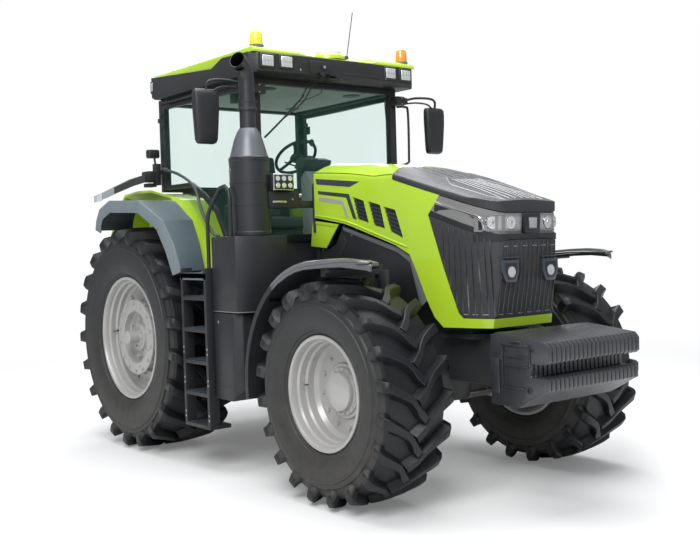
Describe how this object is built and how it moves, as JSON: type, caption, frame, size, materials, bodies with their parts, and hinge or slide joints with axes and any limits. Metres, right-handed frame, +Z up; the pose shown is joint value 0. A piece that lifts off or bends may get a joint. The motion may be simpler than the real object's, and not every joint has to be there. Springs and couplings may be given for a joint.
{
  "type": "farm tractor",
  "caption": "Four-wheel-drive farm tractor with a glazed cab, tilting hood, steered front axle, plate weights in front and a rear three-point lift.",
  "frame": {"origin": "middle of the tractor's box on the ground, with every tyre standing on Z = 0", "axes": "+X forwards along the hood, +Y to the tractor's left, +Z up"},
  "size_m": [5.4464, 2.704, 3.7652],
  "materials": {
    "lime_paint": "glossy lime green paint",
    "dark_plastic": "dark grey moulded plastic and powder coat, satin",
    "grey_plastic": "blue-grey moulded plastic, satin",
    "chassis_paint": "dark grey chassis paint, semi-matt",
    "cast_iron": "dark painted cast iron, rough",
    "rim_paint": "warm silver-grey wheel paint, satin",
    "tyre_rubber": "black tyre rubber, dull",
    "silver_paint": "silver-grey painted plastic",
    "tinted_glass": "green tinted safety glass",
    "seat_fabric": "dark woven seat cloth"
  },
  "bodies": {
    "chassis": {"front_axle_beam": "chassis_paint", "front_frame": "chassis_paint", "engine_block": "cast_iron", "cooling_pack": "cast_iron", "gearbox_and_rear_axle": "chassis_paint", "front_weights": "cast_iron", "cowl": "dark_plastic", "engine_panel_right": "dark_plastic", "engine_panel_left": "dark_plastic", "cab_frame": "dark_plastic", "cab_floor": "dark_plastic", "windscreen": "tinted_glass", "rear_window": "tinted_glass", "quarter_glass_right": "tinted_glass", "quarter_glass_left": "tinted_glass", "rear_fender_right": "lime_paint", "rear_fender_left": "lime_paint", "fender_extension_right": "grey_plastic", "fender_extension_left": "grey_plastic", "roof_housing": "dark_plastic", "roof_cap": "lime_paint", "exhaust_stack": "dark_plastic", "exhaust_enclosure": "dark_plastic", "side_tank_right": "dark_plastic", "side_tank_left": "dark_plastic", "ladder_right": "dark_plastic", "ladder_left": "dark_plastic", "mirror_right": "dark_plastic", "mirror_left": "dark_plastic", "seat": "seat_fabric", "steering_column": "dark_plastic", "hitch_frame": "chassis_paint"},
    "rear_wheel_right": {"rear_rim_right": "rim_paint", "rear_tyre_right": "tyre_rubber"},
    "rear_wheel_left": {"rear_rim_left": "rim_paint", "rear_tyre_left": "tyre_rubber"},
    "front_wheel_right": {"front_rim_right": "rim_paint", "front_tyre_right": "tyre_rubber"},
    "front_wheel_left": {"front_rim_left": "rim_paint", "front_tyre_left": "tyre_rubber"},
    "steer_knuckle_right": {"knuckle_right": "chassis_paint", "front_fender_right": "dark_plastic"},
    "steer_knuckle_left": {"knuckle_left": "chassis_paint", "front_fender_left": "dark_plastic"},
    "tie_rod": {"steering_rod": "cast_iron"},
    "hood": {"hood_shell": "lime_paint", "hood_top_cover": "dark_plastic", "grille": "dark_plastic", "headlight_panel": "silver_paint"},
    "right_door": {"door_right": "dark_plastic", "door_glass_right": "tinted_glass"},
    "left_door": {"door_left": "dark_plastic", "door_glass_left": "tinted_glass"},
    "rockshaft": {"rockshaft_arms": "cast_iron"},
    "lift_rods": {"lift_rod_right": "cast_iron", "lift_rod_left": "cast_iron"},
    "links": {"lower_links": "cast_iron"}
  },
  "joints": [
    {"name": "rear_wheel_right_spin", "type": "hinge", "parent": "chassis", "child": "rear_wheel_right", "pos_m": [-1.533, -0.975, 1.005], "axis": [0, 1, 0], "continuous": true},
    {"name": "rear_wheel_left_spin", "type": "hinge", "parent": "chassis", "child": "rear_wheel_left", "pos_m": [-1.533, 0.975, 1.005], "axis": [0, 1, 0], "continuous": true},
    {"name": "steering", "type": "hinge", "parent": "chassis", "child": "steer_knuckle_right", "pos_m": [1.377, -0.64, 0.785], "axis": [0, 0, 1], "range_deg": [-30, 30]},
    {"name": "steering_left_follows", "type": "hinge", "parent": "chassis", "child": "steer_knuckle_left", "pos_m": [1.377, 0.64, 0.785], "axis": [0, 0, 1], "range_deg": [-30, 30]},
    {"name": "tie_rod_slide", "type": "slide", "parent": "chassis", "child": "tie_rod", "axis": [0, -1, 0], "range_m": [-0.15, 0.15]},
    {"name": "front_wheel_right_spin", "type": "hinge", "parent": "steer_knuckle_right", "child": "front_wheel_right", "pos_m": [1.377, -0.995, 0.785], "axis": [0, 1, 0], "continuous": true},
    {"name": "front_wheel_left_spin", "type": "hinge", "parent": "steer_knuckle_left", "child": "front_wheel_left", "pos_m": [1.377, 0.995, 0.785], "axis": [0, 1, 0], "continuous": true},
    {"name": "hood_lift", "type": "hinge", "parent": "chassis", "child": "hood", "pos_m": [0.349, 0, 2.392], "axis": [0, -1, 0], "range_deg": [0, 50]},
    {"name": "right_door_swing", "type": "hinge", "parent": "chassis", "child": "right_door", "pos_m": [-1.561, -0.83, 2.6], "axis": [0, 0, -1], "range_deg": [0, 65]},
    {"name": "left_door_swing", "type": "hinge", "parent": "chassis", "child": "left_door", "pos_m": [-1.561, 0.83, 2.6], "axis": [0, 0, 1], "range_deg": [0, 65]},
    {"name": "lift_arms", "type": "hinge", "parent": "chassis", "child": "rockshaft", "pos_m": [-1.893, 0, 1.44], "axis": [0, 1, 0], "range_deg": [-18, 24]},
    {"name": "lower_links_follow", "type": "hinge", "parent": "chassis", "child": "links", "pos_m": [-1.893, 0, 0.62], "axis": [0, 1, 0], "range_deg": [-18, 24]},
    {"name": "lift_rods_hang", "type": "hinge", "parent": "rockshaft", "child": "lift_rods", "pos_m": [-2.223, 0, 1.44], "axis": [0, 1, 0], "range_deg": [-24, 18]}
  ],
  "couplings": [
    {"joint": "steering_left_follows", "follows": "steering", "ratio": 1},
    {"joint": "tie_rod_slide", "follows": "steering", "m_per_rad": 0.21},
    {"joint": "lower_links_follow", "follows": "lift_arms", "ratio": 1},
    {"joint": "lift_rods_hang", "follows": "lift_arms", "ratio": -1}
  ]
}
